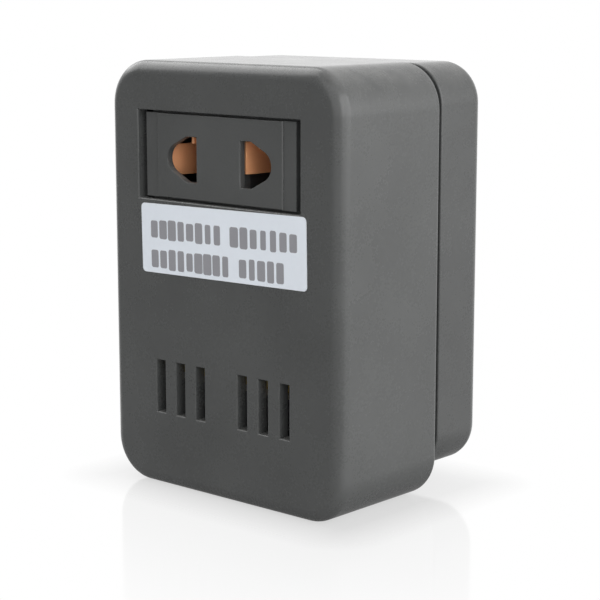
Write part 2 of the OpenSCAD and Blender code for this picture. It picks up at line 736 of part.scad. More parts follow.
// Insulated lead along a route
module lead(route) {
    line = curve_points(route);
    rings = len(line);
    n = lead_sides;
    corners = [for (i = [0 : rings - 1]) each ring(line, i)];
    sides = [for (i = [0 : rings - 2], k = [0 : n - 1])
        let (a = i * n + k, b = i * n + (k + 1) % n) each [[a, a + n, b + n], [a, b + n, b]]];
    near_end = [for (k = [1 : n - 2]) [0, k, k + 1]];
    far_end = [for (k = [1 : n - 2]) [0, k + 1, k] + (rings - 1) * n * [1, 1, 1]];
    polyhedron(corners, concat(sides, near_end, far_end));
}

module pin_to_fuse_lead() color("firebrick") lead(pin_to_fuse);
module fuse_to_winding_lead() color("firebrick") lead(fuse_to_winding);
module pin_to_winding_lead() color("royalblue") lead(pin_to_winding);
module left_outlet_lead() color("goldenrod") lead(left_outlet);
module right_outlet_lead() color("dimgray") lead(right_outlet);

front_shell();
rear_shell();
case_screws();
rating_label();
outlet_plate();
contact_carrier();
carrier_screws();
left_terminal();
right_terminal();
left_contact_leaf();
right_contact_leaf();
left_plug_pin();
right_plug_pin();
pin_retainer();
retainer_screws();
e_laminations();
i_laminations();
core_clip();
bobbin();
bobbin_terminals();
inner_winding();
layer_tape();
outer_winding();
outer_tape();
thermal_fuse();
pin_to_fuse_lead();
fuse_to_winding_lead();
pin_to_winding_lead();
left_outlet_lead();
right_outlet_lead();
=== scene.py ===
"""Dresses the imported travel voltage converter: soft-edged shells, outlet, contacts, label, works and stage."""

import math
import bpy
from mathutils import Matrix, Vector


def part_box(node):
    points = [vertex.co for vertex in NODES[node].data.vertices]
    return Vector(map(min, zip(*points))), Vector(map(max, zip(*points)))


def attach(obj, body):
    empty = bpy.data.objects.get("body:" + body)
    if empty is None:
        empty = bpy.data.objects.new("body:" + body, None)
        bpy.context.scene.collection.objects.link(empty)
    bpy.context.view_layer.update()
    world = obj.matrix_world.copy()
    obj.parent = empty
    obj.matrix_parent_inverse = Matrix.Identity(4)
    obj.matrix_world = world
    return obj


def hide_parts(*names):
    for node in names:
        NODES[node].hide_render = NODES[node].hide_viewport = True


bl_info = {
    "name": "Travel voltage converter",
    "version": (1, 0, 0),
    "blender": (4, 5, 0),
    "location": "View3D > Sidebar > Converter",
    "description": "Builds the converter's shells, outlet, contacts, label, transformer and stage",
    "category": "Object",
}

import bmesh
import bpy
from bpy.props import FloatProperty, FloatVectorProperty, PointerProperty
from mathutils import Matrix, Vector

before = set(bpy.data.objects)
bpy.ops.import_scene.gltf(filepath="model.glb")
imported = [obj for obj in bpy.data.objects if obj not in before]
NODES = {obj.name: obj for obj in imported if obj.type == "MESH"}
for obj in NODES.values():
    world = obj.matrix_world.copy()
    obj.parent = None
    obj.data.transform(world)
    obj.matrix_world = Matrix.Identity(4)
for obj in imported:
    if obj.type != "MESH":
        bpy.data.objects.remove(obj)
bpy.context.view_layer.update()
BODY = "converter"
MM = 0.001

# Edges that turn by more than SHARP are sharp, and faces that turn by less than FLAT are one
SHARP = math.radians(35)
FLAT = math.radians(0.2)
# Corners closer than WELD are one, and edges within FACE_SLACK of a face's front lie on it
WELD = 1e-7
FACE_SLACK = 0.01 * MM
# Rounding of small pieces: stamped and moulded ones, strip and screws, tape, core sheets, label film
SMALL_EDGE, STRIP_EDGE, TAPE_EDGE = 0.1 * MM, 0.08 * MM, 0.06 * MM
SHEET_EDGE, FILM_EDGE = 0.05 * MM, 0.035 * MM
DUST = (0.55, 0.54, 0.52, 1.0)
YELLOWED = (0.62, 0.60, 0.54, 1.0)

FRONT_LOW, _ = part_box("front_shell")
_, REAR_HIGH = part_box("rear_shell")
PLATE_LOW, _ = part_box("outlet_plate")
LABEL_LOW, LABEL_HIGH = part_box("rating_label")


# Node trees


def add(tree, kind, sockets=None, **settings):
    """A new node with its settings, and each socket given a value or a link."""
    node = tree.nodes.new(kind)
    for key, value in settings.items():
        setattr(node, key, value)
    for key, value in (sockets or {}).items():
        if isinstance(value, bpy.types.NodeSocket):
            tree.links.new(value, node.inputs[key])
        else:
            node.inputs[key].default_value = value
    return node


def new_group(name, kind, takes, gives):
    """An empty node group: takes lists (name, socket type, default), and gives lists (name, socket type)."""
    tree = bpy.data.node_groups.new(name, kind)
    for title, socket, default in takes:
        made = tree.interface.new_socket(title, in_out="INPUT", socket_type="NodeSocket" + socket)
        if default is not None:
            made.default_value = default
    for title, socket in gives:
        tree.interface.new_socket(title, in_out="OUTPUT", socket_type="NodeSocket" + socket)
    return tree, tree.nodes.new("NodeGroupInput").outputs, tree.nodes.new("NodeGroupOutput")


def math_of(tree, operation, a, b=0.0):
    return add(tree, "ShaderNodeMath", {0: a, 1: b}, operation=operation).outputs[0]


def blended(tree, a, share, b):
    """A share of value a, and the rest of value b."""
    return math_of(tree, "ADD", math_of(tree, "MULTIPLY", a, share), math_of(tree, "MULTIPLY", b, 1.0 - share))


def opaque(colour, gain=1.0, lift=0.0):
    """A colour made lighter or darker, with full alpha."""
    return tuple(min(c * gain + lift, 1.0) for c in colour[:3]) + (1.0,)


def mixed(tree, factor, a, b):
    """Colour a turned towards colour b by a factor."""
    return add(tree, "ShaderNodeMix", {0: factor, 6: a, 7: b}, data_type="RGBA").outputs[2]


def ranged(tree, value, low, high, to_low=0.0, to_high=1.0):
    return add(tree, "ShaderNodeMapRange", {0: value, 1: low, 2: high, 3: to_low, 4: to_high}).outputs[0]


def moulded_grain(title):
    """Spark-eroded mould texture: fine pits, and slow drifts of tone and gloss over a moulding."""
    tree, take, give = new_group(title, "ShaderNodeTree", [
        ("Vector", "Vector", None), ("Pits per metre", "Float", 2600.0)],
        [("Height", "Float"), ("Tone", "Float"), ("Gloss", "Float")])
    pits = add(tree, "ShaderNodeTexVoronoi", {"Vector": take["Vector"], "Scale": take["Pits per metre"]},
               feature="SMOOTH_F1").outputs["Distance"]
    fine = add(tree, "ShaderNodeTexNoise", {"Vector": take["Vector"], "Detail": 4.0, "Roughness": 0.6,
                                            "Scale": math_of(tree, "MULTIPLY", take["Pits per metre"], 0.55)})
    height = blended(tree, pits, 0.55, fine.outputs[0])
    drift = add(tree, "ShaderNodeTexNoise", {"Vector": take["Vector"], "Scale": 55.0, "Detail": 3.0})
    flow = add(tree, "ShaderNodeTexNoise", {"Vector": take["Vector"], "Scale": 160.0, "Detail": 2.0})
    tree.links.new(height, give.inputs["Height"])
    tree.links.new(blended(tree, drift.outputs[0], 0.7, height), give.inputs["Tone"])
    tree.links.new(blended(tree, flow.outputs[0], 0.6, height), give.inputs["Gloss"])
    return tree


def edge_wear_and_highlight(title):
    """Mask of the edges, broken up by a noise: plastic gets a painted highlight there, metal rubbed edges and
    film a yellowed edge.
    """
    tree, take, give = new_group(title, "ShaderNodeTree", [
        ("Vector", "Vector", None), ("Width", "Float", 0.0005)],
        [("Mask", "Float")])
    rounded = add(tree, "ShaderNodeBevel", {"Radius": take["Width"]}, samples=4)
    plain = add(tree, "ShaderNodeNewGeometry").outputs["Normal"]
    facing = add(tree, "ShaderNodeVectorMath", {0: rounded.outputs[0], 1: plain}, operation="DOT_PRODUCT")
    edge = ranged(tree, facing.outputs["Value"], 0.995, 0.86)
    patches = add(tree, "ShaderNodeTexNoise", {"Vector": take["Vector"], "Scale": 420.0, "Detail": 5.0})
    tree.links.new(math_of(tree, "MULTIPLY", edge, ranged(tree, patches.outputs[0], 0.35, 0.65)),
                   give.inputs["Mask"])
    return tree


def settled_dust(title):
    """Mask of thin dust on what faces up, in soft specks."""
    tree, take, give = new_group(title, "ShaderNodeTree", [
        ("Vector", "Vector", None), ("Amount", "Float", 0.3)],
        [("Mask", "Float")])
    normal = add(tree, "ShaderNodeNewGeometry").outputs["Normal"]
    up = add(tree, "ShaderNodeSeparateXYZ", {0: normal}).outputs[2]
    film = add(tree, "ShaderNodeTexNoise", {"Vector": take["Vector"], "Scale": 240.0, "Detail": 6.0,
                                            "Roughness": 0.7})
    lying = math_of(tree, "MULTIPLY", ranged(tree, up, 0.35, 1.0), ranged(tree, film.outputs[0], 0.3, 0.8))
    tree.links.new(math_of(tree, "MULTIPLY", lying, take["Amount"]), give.inputs["Mask"])
    return tree


def worked_metal(title):
    """Rolling or drawing lines along one axis, with patches of tarnish."""
    tree, take, give = new_group(title, "ShaderNodeTree", [
        ("Vector", "Vector", None), ("Stretch", "Vector", (1.0, 1.0, 1.0)),
        ("Tarnish", "Float", 0.5)],
        [("Lines", "Float"), ("Tarnish", "Float"), ("Gloss", "Float")])
    drawn = add(tree, "ShaderNodeMapping", {"Vector": take["Vector"], "Scale": take["Stretch"]})
    lines = add(tree, "ShaderNodeTexNoise", {"Vector": drawn.outputs[0], "Scale": 3000.0, "Detail": 3.0})
    patches = add(tree, "ShaderNodeTexNoise", {"Vector": take["Vector"], "Scale": 380.0, "Detail": 5.0,
                                               "Roughness": 0.62})
    spread = ranged(tree, patches.outputs[0], 0.42, 0.74)
    tree.links.new(lines.outputs[0], give.inputs["Lines"])
    tree.links.new(math_of(tree, "MULTIPLY", spread, take["Tarnish"]), give.inputs["Tarnish"])
    tree.links.new(blended(tree, lines.outputs[0], 0.5, spread), give.inputs["Gloss"])
    return tree


# Shared effects, each built the first time that a material asks for it
EFFECTS = {"Moulded grain": moulded_grain, "Edge wear and painted highlight": edge_wear_and_highlight, "Settled dust": settled_dust,
           "Worked metal": worked_metal}


# Materials


def blank_material(name):
    """An empty material, its object coordinates and its surface socket."""
    material = bpy.data.materials.new(name)
    material.use_nodes = True
    tree = material.node_tree
    tree.nodes.clear()
    where = add(tree, "ShaderNodeTexCoord").outputs["Object"]
    return material, tree, where, tree.nodes.new("ShaderNodeOutputMaterial").inputs["Surface"]


def placed(tree, title, sockets):
    """A shared effect put in a material; its outputs."""
    group = bpy.data.node_groups.get(title) or EFFECTS[title](title)
    return add(tree, "ShaderNodeGroup", sockets, node_tree=group).outputs


def coated(material, tree, surface, body, gloss, bump, metallic=0.0):
    """The material with its shader; bump holds the strength, the distance and the height of its relief."""
    relief = add(tree, "ShaderNodeBump", dict(zip(("Strength", "Distance", "Height"), bump)))
    shader = add(tree, "ShaderNodeBsdfPrincipled", {
        "Base Color": body, "Roughness": gloss, "Metallic": metallic, "Normal": relief.outputs[0]})
    tree.links.new(shader.outputs[0], surface)
    return material


def plastic(name, colour, rough=0.5, pits=2600.0, depth=0.16, dust=0.2, edge_highlight=0.25):
    """Moulded plastic: textured, with a painted highlight and less roughness at its edges, and a trace of dust.
    """
    material, tree, where, surface = blank_material(name)
    grain = placed(tree, "Moulded grain", {"Vector": where, "Pits per metre": pits})
    edge_mask = placed(tree, "Edge wear and painted highlight", {"Vector": where})["Mask"]
    dusty = placed(tree, "Settled dust", {"Vector": where, "Amount": dust})["Mask"]
    body = mixed(tree, ranged(tree, grain["Tone"], 0.3, 0.7), opaque(colour, 0.86), opaque(colour, 1.14))
    # Painted highlight: the edges are painted lighter than the plastic's colour.
    body = mixed(tree, math_of(tree, "MULTIPLY", edge_mask, edge_highlight), body, opaque(colour, 1.5, 0.01))
    body = mixed(tree, dusty, body, DUST)
    gloss = ranged(tree, grain["Gloss"], 0.25, 0.75, rough - 0.06, rough + 0.08)
    gloss = math_of(tree, "SUBTRACT", gloss, math_of(tree, "MULTIPLY", edge_mask, 0.12))
    glance = add(tree, "ShaderNodeLayerWeight").outputs["Facing"]
    gloss = math_of(tree, "MULTIPLY", gloss, ranged(tree, glance, 0.72, 0.96, 1.0, 0.5))
    return coated(material, tree, surface, body, gloss, (depth, 0.06 * MM, grain["Height"]))


def metal(name, colour, tarnish_colour, rough=0.3, stretch=(1.0, 1.0, 1.0), tarnish=0.5, metallic=1.0):
    """Worked metal: lines along the drawing direction, tarnish patches and rubbed edges."""
    material, tree, where, surface = blank_material(name)
    worked = placed(tree, "Worked metal", {"Vector": where, "Stretch": stretch, "Tarnish": tarnish})
    edge_mask = placed(tree, "Edge wear and painted highlight", {"Vector": where, "Width": 0.2 * MM})["Mask"]
    body = mixed(tree, worked["Tarnish"], opaque(colour), opaque(tarnish_colour))
    body = mixed(tree, math_of(tree, "MULTIPLY", edge_mask, 0.5), body, opaque(colour, 1.12, 0.02))
    gloss = ranged(tree, worked["Gloss"], 0.2, 0.8, rough - 0.08, rough + 0.14)
    return coated(material, tree, surface, body, gloss, (0.12, 0.04 * MM, worked["Lines"]), metallic)


def film(name, colour, rough=0.34):
    """Printed film: white coat with a faint mottle, and a little yellowed at its cut edge."""
    material, tree, where, surface = blank_material(name)
    mottle = add(tree, "ShaderNodeTexNoise", {"Vector": where, "Scale": 900.0, "Detail": 4.0})
    cloud = add(tree, "ShaderNodeTexNoise", {"Vector": where, "Scale": 90.0, "Detail": 2.0})
    edge_mask = placed(tree, "Edge wear and painted highlight", {"Vector": where, "Width": 0.4 * MM})["Mask"]
    tone = blended(tree, mottle.outputs[0], 0.4, cloud.outputs[0])
    body = mixed(tree, ranged(tree, tone, 0.3, 0.7), opaque(colour, 0.955), opaque(colour))
    body = mixed(tree, math_of(tree, "MULTIPLY", edge_mask, 0.35), body, YELLOWED)
    gloss = ranged(tree, tone, 0.3, 0.7, rough - 0.05, rough + 0.08)
    return coated(material, tree, surface, body, gloss, (0.06, 0.03 * MM, tone))


def fibre(name, colour):
    """Pressed board: crossed fibres with flecks."""
    material, tree, where, surface = blank_material(name)
    lengthways = add(tree, "ShaderNodeMapping", {"Vector": where, "Scale": (0.12, 1.0, 1.0)})
    strands = add(tree, "ShaderNodeTexNoise", {"Vector": lengthways.outputs[0], "Scale": 2600.0,
                                               "Detail": 5.0})
    flecks = add(tree, "ShaderNodeTexVoronoi", {"Vector": where, "Scale": 900.0})
    tone = blended(tree, strands.outputs[0], 0.75, flecks.outputs["Distance"])
    body = mixed(tree, ranged(tree, tone, 0.3, 0.7), opaque(colour, 0.62), opaque(colour))
    gloss = ranged(tree, tone, 0.3, 0.7, 0.78, 0.62)
    return coated(material, tree, surface, body, gloss, (0.4, 0.08 * MM, tone))


# Meshes


def linked(name, data):
    """A new object in the scene."""
    ob = bpy.data.objects.new(name, data)
    bpy.context.scene.collection.objects.link(ob)
    return ob


def poured(name, bm):
    """The bmesh as a plain mesh; the bmesh is freed."""
    mesh = bpy.data.meshes.new(name)
    bm.to_mesh(mesh)
    bm.free()
    return mesh


def welded_copy(node):
    """A CAD node's triangles as one closed mesh."""
    bm = bmesh.new()
    bm.from_mesh(NODES[node].data)
    bmesh.ops.remove_doubles(bm, verts=bm.verts, dist=WELD)
    return bm


def merged_copy(node):
    """A CAD node's triangles as one closed mesh with whole flat faces."""
    bm = welded_copy(node)
    bmesh.ops.dissolve_limit(bm, angle_limit=FLAT, verts=bm.verts, edges=bm.edges)
    return bm


def soften(bm, width, where=None, segments=2):
    """Rounds the sharp edges, or those of them that where() picks."""
    edges = [e for e in bm.edges if len(e.link_faces) == 2 and e.calc_face_angle() > SHARP
             and (where is None or where(*(v.co for v in e.verts)))]
    bmesh.ops.bevel(bm, geom=edges, offset=width, offset_type="OFFSET", segments=segments, profile=0.5,
                    affect="EDGES", clamp_overlap=False)
    return bm


def on_front(low):
    """Picks the edges that lie on the front of a piece whose box starts at low."""
    return lambda a, b: max(a.y, b.y) < low.y + FACE_SLACK


def shaded_mesh(name, bm):
    """The bmesh as a mesh with smooth fillets, flat faces and sharp corners."""
    bm.normal_update()
    for face in bm.faces:
        face.smooth = True
    for edge in bm.edges:
        edge.smooth = len(edge.link_faces) == 2 and edge.calc_face_angle() < SHARP
    holder = linked(name + "_shading", poured(name, bm))
    holder.modifiers.new("weighted", "WEIGHTED_NORMAL").keep_sharp = True
    return baked(holder, name)


def baked(holder, name):
    """The holder's evaluated shape as a plain mesh; the holder is removed."""
    graph = bpy.context.evaluated_depsgraph_get()
    mesh = bpy.data.meshes.new_from_object(holder.evaluated_get(graph), depsgraph=graph)
    old = holder.data
    bpy.data.objects.remove(holder)
    if old.users == 0:
        bpy.data.meshes.remove(old)
    mesh.name = name
    return mesh


def place(name, mesh, material, replaced=(), body=BODY):
    """A finished piece: its mesh, material, body, slot and the nodes it stands for."""
    mesh.materials.clear()
    mesh.materials.append(material)
    piece = linked(name, mesh)
    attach(piece, body)
    if replaced:
        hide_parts(*replaced)


def dress(node, name, material, width=0.0, where=None):
    """A CAD node's copy, its sharp edges rounded by width, as the finished piece that stands for it."""
    bm = merged_copy(node)
    if width:
        soften(bm, width, where)
    place(name, shaded_mesh(name, bm), material, [node])


def carry(node, material):
    """Gives a CAD node that keeps its shape a better material."""
    NODES[node].data.materials.clear()
    NODES[node].data.materials.append(material)


def lathe(profile, centre, steps=56):
    """A solid turned about the Y axis through centre, from (radius, y) points."""
    bm = bmesh.new()
    line = [bm.verts.new((centre[0] + r, y, centre[2])) for r, y in profile]
    for a, b in zip(line, line[1:]):
        bm.edges.new((a, b))
    bmesh.ops.spin(bm, geom=bm.verts[:] + bm.edges[:], cent=(centre[0], 0, centre[2]), axis=(0, 1, 0),
                   angle=math.tau, steps=steps, use_duplicate=False)
    bmesh.ops.remove_doubles(bm, verts=bm.verts, dist=WELD)
    bmesh.ops.recalc_face_normals(bm, faces=bm.faces)
    return bm


def rounded_steps(points, radius, steps=3):
    """A (radius, y) line with each inner corner turned into a small arc."""
    line = [points[0]]
    for a, b, c in zip(points, points[1:], points[2:]):
        a, b, c = Vector(a), Vector(b), Vector(c)
        cut = min(radius, (a - b).length * 0.45, (c - b).length * 0.45)
        start, end = b + (a - b).normalized() * cut, b + (c - b).normalized() * cut
        for i in range(steps + 1):
            t = i / steps
            line.append(tuple(start * (1 - t) ** 2 + b * (2 * t * (1 - t)) + end * t ** 2))
    return line + [points[-1]]


# Geometry Nodes


def grown(name, tree, values, own=None):
    """Runs a geometry tree on an object and returns the plain mesh it makes."""
    holder = linked(name + "_source", own or bpy.data.meshes.new(name + "_source"))
    modifier = holder.modifiers.new("tree", "NODES")
    modifier.node_group = tree
    for item in tree.interface.items_tree:
        if item.item_type == "SOCKET" and item.in_out == "INPUT" and item.name in values:
            modifier[item.identifier] = values[item.name]
    return baked(holder, name)


def finish_tree(tree, geometry, material, give):
    """The tree, which gives the copies as one mesh with a material."""
    real = add(tree, "GeometryNodeRealizeInstances", {0: geometry})
    coat = add(tree, "GeometryNodeSetMaterial", {0: real.outputs[0], "Material": material})
    tree.links.new(coat.outputs[0], give.inputs[0])
    return tree


def in_row(tree, take, count, piece, sockets=None):
    """Copies of a piece in a straight row, from Start by Step."""
    line = add(tree, "GeometryNodeMeshLine", {"Count": count, "Start Location": take["Start"],
                                              "Offset": take["Step"]})
    return add(tree, "GeometryNodeInstanceOnPoints", {
        "Points": line.outputs[0], "Instance": piece, **(sockets or {})}).outputs[0]


def row_tree():
    """Copies of the object's own mesh in a straight row."""
    tree, take, give = new_group("Row of copies", "GeometryNodeTree", [
        ("Geometry", "Geometry", None), ("Count", "Int", 2),
        ("Start", "Vector", (0.0, 0.0, 0.0)), ("Step", "Vector", (0.0, 0.001, 0.0)),
        ("Material", "Material", None)], [("Geometry", "Geometry")])
    copies = in_row(tree, take, take["Count"], take["Geometry"])
    return finish_tree(tree, copies, take["Material"], give)


def corner_tree():
    """Copies of the object's own mesh at the four corners of an upright rectangle."""
    tree, take, give = new_group("Four corners", "GeometryNodeTree", [
        ("Geometry", "Geometry", None), ("Width", "Float", 0.04),
        ("Height", "Float", 0.06), ("Centre", "Vector", (0.0, 0.0, 0.0)),
        ("Material", "Material", None)], [("Geometry", "Geometry")])
    grid = add(tree, "GeometryNodeMeshGrid", {"Size X": take["Width"], "Size Y": take["Height"],
                                              "Vertices X": 2, "Vertices Y": 2})
    upright = add(tree, "GeometryNodeTransform", {
        "Geometry": grid.outputs[0], "Translation": take["Centre"], "Rotation": (math.pi / 2, 0.0, 0.0)})
    copies = add(tree, "GeometryNodeInstanceOnPoints", {"Points": upright.outputs[0],
                                                        "Instance": take["Geometry"]})
    return finish_tree(tree, copies.outputs[0], take["Material"], give)


def winding_tree():
    """One layer of wire round a rectangular tube: turns side by side up the tube."""
    tree, take, give = new_group("Layer of turns", "GeometryNodeTree", [
        ("Width", "Float", 0.02), ("Depth", "Float", 0.02),
        ("Corner", "Float", 0.001), ("Wire radius", "Float", 0.0002),
        ("Turns", "Int", 40), ("Start", "Vector", (0.0, 0.0, 0.0)),
        ("Step", "Vector", (0.0, 0.0, 0.0004)), ("Material", "Material", None)],
        [("Geometry", "Geometry")])
    loop = add(tree, "GeometryNodeCurvePrimitiveQuadrilateral", {"Width": take["Width"],
                                                                 "Height": take["Depth"]})
    bent = add(tree, "GeometryNodeFilletCurve", {
        "Curve": loop.outputs[0], "Radius": take["Corner"], "Count": 4}, mode="POLY")
    wire = add(tree, "GeometryNodeCurvePrimitiveCircle", {"Resolution": 6, "Radius": take["Wire radius"]})
    turn = add(tree, "GeometryNodeCurveToMesh", {"Curve": bent.outputs[0],
                                                 "Profile Curve": wire.outputs[0]})
    smooth = add(tree, "GeometryNodeSetShadeSmooth", {"Geometry": turn.outputs[0]})
    copies = in_row(tree, take, take["Turns"], smooth.outputs[0])
    return finish_tree(tree, copies, take["Material"], give)


def print_tree():
    """A run of plain bars with seeded widths and heights, on a line turned about a centre."""
    tree, take, give = new_group("Run of bars", "GeometryNodeTree", [
        ("Geometry", "Geometry", None), ("Bars", "Int", 8),
        ("Start", "Vector", (0.0, 0.0, 0.0)), ("Step", "Vector", (0.002, 0.0, 0.0)),
        ("Turn", "Float", 0.0), ("Centre", "Vector", (0.0, 0.0, 0.0)),
        ("Seed", "Int", 0), ("Material", "Material", None)],
        [("Geometry", "Geometry")])
    smallest, largest = (0.56, 1.0, 0.80), (0.94, 1.0, 1.0)
    scale = add(tree, "FunctionNodeRandomValue", {0: smallest, 1: largest, "Seed": take["Seed"]},
                data_type="FLOAT_VECTOR")
    copies = in_row(tree, take, take["Bars"], take["Geometry"], {"Scale": scale.outputs[0]})
    tilt = add(tree, "ShaderNodeCombineXYZ", {1: take["Turn"]})
    turned = add(tree, "GeometryNodeTransform", {
        "Geometry": copies, "Translation": take["Centre"], "Rotation": tilt.outputs[0]})
    return finish_tree(tree, turned.outputs[0], take["Material"], give)


# Properties


class ConverterCase(bpy.types.PropertyGroup):
    """Finish of the two shells and the outlet plate."""
    colour: FloatVectorProperty(
        name="Case colour", description="Colour of the moulded shells", subtype="COLOR", size=4, min=0, max=1,
        default=(0.070, 0.0724, 0.0716, 1.0))
    # Painted shade: the rear shell gets a darker copy of the case colour.
    shaded_rear_colour: FloatVectorProperty(
        name="Rear colour", description="Colour of the rear shell, darker as painted shade", subtype="COLOR", size=4,
        min=0, max=1, default=(0.060, 0.0620, 0.0614, 1.0))
    plate_colour: FloatVectorProperty(
        name="Plate colour", description="Colour of the outlet plate", subtype="COLOR", size=4, min=0, max=1,
        default=(0.070, 0.0724, 0.0717, 1.0))
    edge: FloatProperty(
        name="Edge radius", description="Rounding of moulded edges at openings", unit="LENGTH",
        default=0.3 * MM, min=0.05 * MM, max=0.5 * MM)
    pits: FloatProperty(
        name="Texture pitch", description="Mould texture pits in a metre", default=2600.0, min=500.0,
        max=8000.0)


class ConverterOutlet(bpy.types.PropertyGroup):
    """Contacts behind the outlet plate and pins on the rear."""
    copper: FloatVectorProperty(
        name="Contact colour", description="Colour of the copper contacts", subtype="COLOR", size=4, min=0,
        max=1, default=(0.98, 0.47, 0.23, 1.0))
    nickel: FloatVectorProperty(
        name="Pin colour", description="Colour of the plated plug pins", subtype="COLOR", size=4, min=0, max=1,
        default=(0.74, 0.72, 0.66, 1.0))
    strip: FloatProperty(
        name="Leaf thickness", description="Thickness of a sprung contact leaf", unit="LENGTH",
        default=0.5 * MM, min=0.3 * MM, max=0.6 * MM)


class ConverterLabel(bpy.types.PropertyGroup):
    """Label on the front."""
    colour: FloatVectorProperty(
        name="Film colour", description="Colour of the label's film", subtype="COLOR", size=4, min=0, max=1,
        default=(0.73, 0.775, 0.835, 1.0))
    ink: FloatVectorProperty(
        name="Bar colour", description="Colour of the plain bars", subtype="COLOR", size=4, min=0, max=1,
        default=(0.27, 0.27, 0.29, 1.0))
    pitch: FloatProperty(
        name="Bar pitch", description="Room for one plain bar in a row", unit="LENGTH", default=2.15 * MM,
        min=0.5 * MM, max=8 * MM)
    turn: FloatProperty(
        name="Turn", description="How far the label is turned, its right end up", subtype="ANGLE",
        default=math.radians(1.0))


class ConverterWorks(bpy.types.PropertyGroup):
    """Transformer inside the case."""
    wire: FloatProperty(
        name="Wire diameter", description="Diameter of the inner winding's wire over its enamel", unit="LENGTH",
        default=0.46 * MM, min=0.2 * MM, max=1.2 * MM)
    heavy_wire: FloatProperty(
        name="Heavy wire diameter", description="Diameter of the outer winding's wire over its enamel",
        unit="LENGTH", default=0.54 * MM, min=0.2 * MM, max=1.4 * MM)
    sheet: FloatProperty(
        name="Sheet pitch", description="Pitch of the core's stacked sheets", unit="LENGTH",
        default=0.5 * MM, min=0.35 * MM, max=1.0 * MM)


class ConverterStage(bpy.types.PropertyGroup):
    """Camera, light and floor."""
    azimuth: FloatProperty(
        name="Azimuth", description="Camera's angle to the right of the front", subtype="ANGLE",
        default=math.radians(41.62))
    elevation: FloatProperty(
        name="Elevation", description="Camera's angle above the floor", subtype="ANGLE",
        default=math.radians(10.157))
    distance: FloatProperty(
        name="Distance", description="Camera's distance from the point it looks at", unit="LENGTH",
        default=287.29 * MM)
    target: FloatVectorProperty(
        name="Target", description="Point that the camera looks at", subtype="TRANSLATION", size=3,
        default=(18.291 * MM, FRONT_LOW.y, 37.728 * MM))
    lens: FloatProperty(
        name="Lens", description="Focal length on a 36 mm sensor", unit="CAMERA", default=105.65)
    ambient: FloatProperty(
        name="Ambient", description="Strength of the soft light from all round", default=0.4, min=0.0, max=1.0)
    room: FloatProperty(
        name="Room", description="Level of the room in front of the object, as gloss shows it", default=0.3,
        min=0.0, max=1.0)
    floor: FloatVectorProperty(
        name="Floor colour", description="Colour of the floor", subtype="COLOR", size=4, min=0, max=1,
        default=(0.5, 0.5, 0.5, 1.0))
    mirror: FloatProperty(
        name="Floor polish", description="How much the floor mirrors the object at its foot", default=0.13,
        min=0.0, max=1.0)


# Operators


class CONVERTER_OT_front_shell(bpy.types.Operator):
    """Deep front half of the case, with soft edges at its window and vents"""
    bl_idname = "converter.front_shell"
    bl_label = "Front shell"

    def execute(self, context):
        case = context.scene.converter_case
        dress("front_shell", "front_case", plastic("case_plastic", case.colour, rough=0.27, pits=case.pits),
              case.edge, on_front(FRONT_LOW))
        return {"FINISHED"}


class CONVERTER_OT_rear_shell(bpy.types.Operator):
    """Shallow rear half of the case, with its screw wells and pin holes"""
    bl_idname = "converter.rear_shell"
    bl_label = "Rear shell"

    def execute(self, context):
        case = context.scene.converter_case
        # Painted shade: the rear shell's plastic is a darker copy of the case plastic.
        dress("rear_shell", "rear_case",
              plastic("shaded_rear_case_plastic", case.shaded_rear_colour, rough=0.27, pits=case.pits))
        return {"FINISHED"}


class CONVERTER_OT_outlet_plate(bpy.types.Operator):
    """Plate in the window, with soft edges round its face and its two plug holes"""
    bl_idname = "converter.outlet_plate"
    bl_label = "Outlet plate"

    def execute(self, context):
        case = context.scene.converter_case
        dress("outlet_plate", "outlet_face",
              plastic("plate_plastic", case.plate_colour, rough=0.34, pits=case.pits * 1.2),
              case.edge * 0.8, on_front(PLATE_LOW))
        carry("contact_carrier", plastic("carrier_plastic", (0.022, 0.022, 0.023, 1.0), rough=0.6, edge_highlight=0.1,
                                         dust=0.05))
        return {"FINISHED"}


